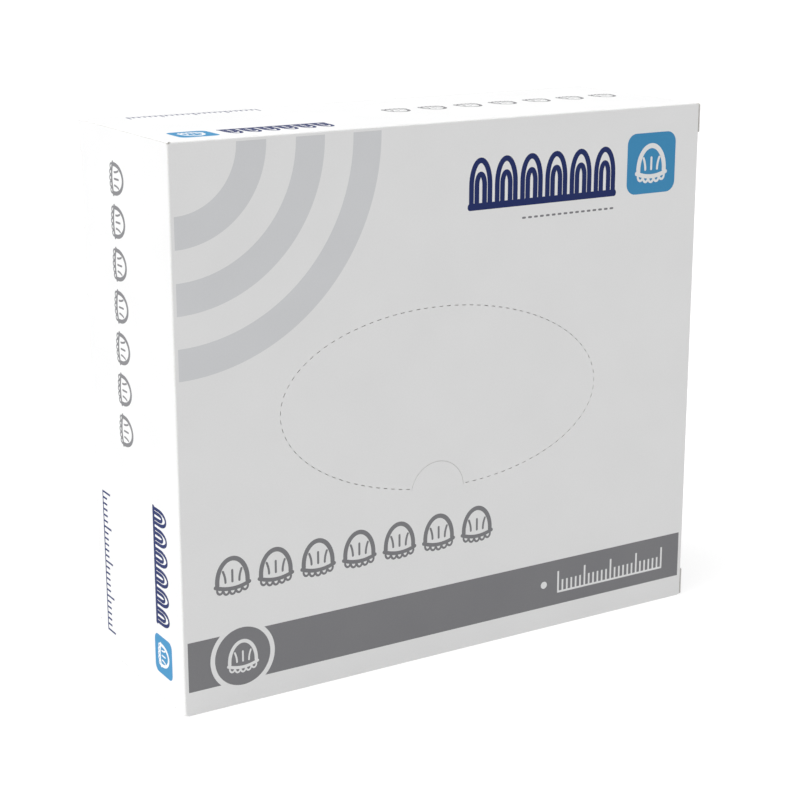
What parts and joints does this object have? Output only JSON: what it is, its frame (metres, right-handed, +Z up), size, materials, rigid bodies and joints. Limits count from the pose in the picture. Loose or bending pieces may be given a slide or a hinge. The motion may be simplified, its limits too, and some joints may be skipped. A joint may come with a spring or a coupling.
{
  "type": "tuck-end dispenser carton for nurse caps",
  "caption": "Closed board carton with tuck-in end lids and dust flaps, a perforated tear-out oval and a thumb tab in front.",
  "frame": {"origin": "middle of the closed carton's base", "axes": "+X to the right along the width, -Y out of the front wall with the tear-out oval, +Z up"},
  "size_m": [0.26, 0.089, 0.235],
  "materials": {
    "coated_board": "white clay-coated face, satin"
  },
  "bodies": {
    "sleeve": {"sleeve": "coated_board"},
    "thumb_tab": {"thumb_tab": "coated_board"},
    "left_lid": {"left_lid": "coated_board"},
    "left_tongue": {"left_tongue": "coated_board"},
    "left_dust_top": {"left_dust_top": "coated_board"},
    "left_dust_bottom": {"left_dust_bottom": "coated_board"},
    "right_lid": {"right_lid": "coated_board"},
    "right_tongue": {"right_tongue": "coated_board"},
    "right_dust_top": {"right_dust_top": "coated_board"},
    "right_dust_bottom": {"right_dust_bottom": "coated_board"}
  },
  "joints": [
    {"name": "thumb_tab_fold", "type": "hinge", "parent": "sleeve", "child": "thumb_tab", "pos_m": [-0.00833, -0.0439, 0.07784], "axis": [-0.9984, 0, 0.0558], "range_deg": [0, 60], "stiffness_Nm_per_rad": 0.0005},
    {"name": "left_lid_fold", "type": "hinge", "parent": "sleeve", "child": "left_lid", "pos_m": [-0.13, -0.0445, 0.1175], "axis": [0, 0, 1], "range_deg": [0, 135]},
    {"name": "left_tongue_fold", "type": "hinge", "parent": "left_lid", "child": "left_tongue", "pos_m": [-0.12925, 0.043, 0.1175], "axis": [0, 0, -1], "range_deg": [0, 45]},
    {"name": "left_dust_top_fold", "type": "hinge", "parent": "sleeve", "child": "left_dust_top", "pos_m": [-0.1285, 0, 0.23425], "axis": [0, -1, 0], "range_deg": [0, 85], "stiffness_Nm_per_rad": 0.001, "springref_deg": -28.65},
    {"name": "left_dust_bottom_fold", "type": "hinge", "parent": "sleeve", "child": "left_dust_bottom", "pos_m": [-0.1285, 0, 0.00075], "axis": [0, 1, 0], "range_deg": [0, 85], "stiffness_Nm_per_rad": 0.001, "springref_deg": -28.65},
    {"name": "right_lid_fold", "type": "hinge", "parent": "sleeve", "child": "right_lid", "pos_m": [0.13, 0.0445, 0.1175], "axis": [0, 0, 1], "range_deg": [0, 135]},
    {"name": "right_tongue_fold", "type": "hinge", "parent": "right_lid", "child": "right_tongue", "pos_m": [0.12925, -0.043, 0.1175], "axis": [0, 0, -1], "range_deg": [0, 45]},
    {"name": "right_dust_top_fold", "type": "hinge", "parent": "sleeve", "child": "right_dust_top", "pos_m": [0.1285, 0, 0.23425], "axis": [0, 1, 0], "range_deg": [0, 85], "stiffness_Nm_per_rad": 0.001, "springref_deg": -28.65},
    {"name": "right_dust_bottom_fold", "type": "hinge", "parent": "sleeve", "child": "right_dust_bottom", "pos_m": [0.1285, 0, 0.00075], "axis": [0, -1, 0], "range_deg": [0, 85], "stiffness_Nm_per_rad": 0.001, "springref_deg": -28.65}
  ]
}
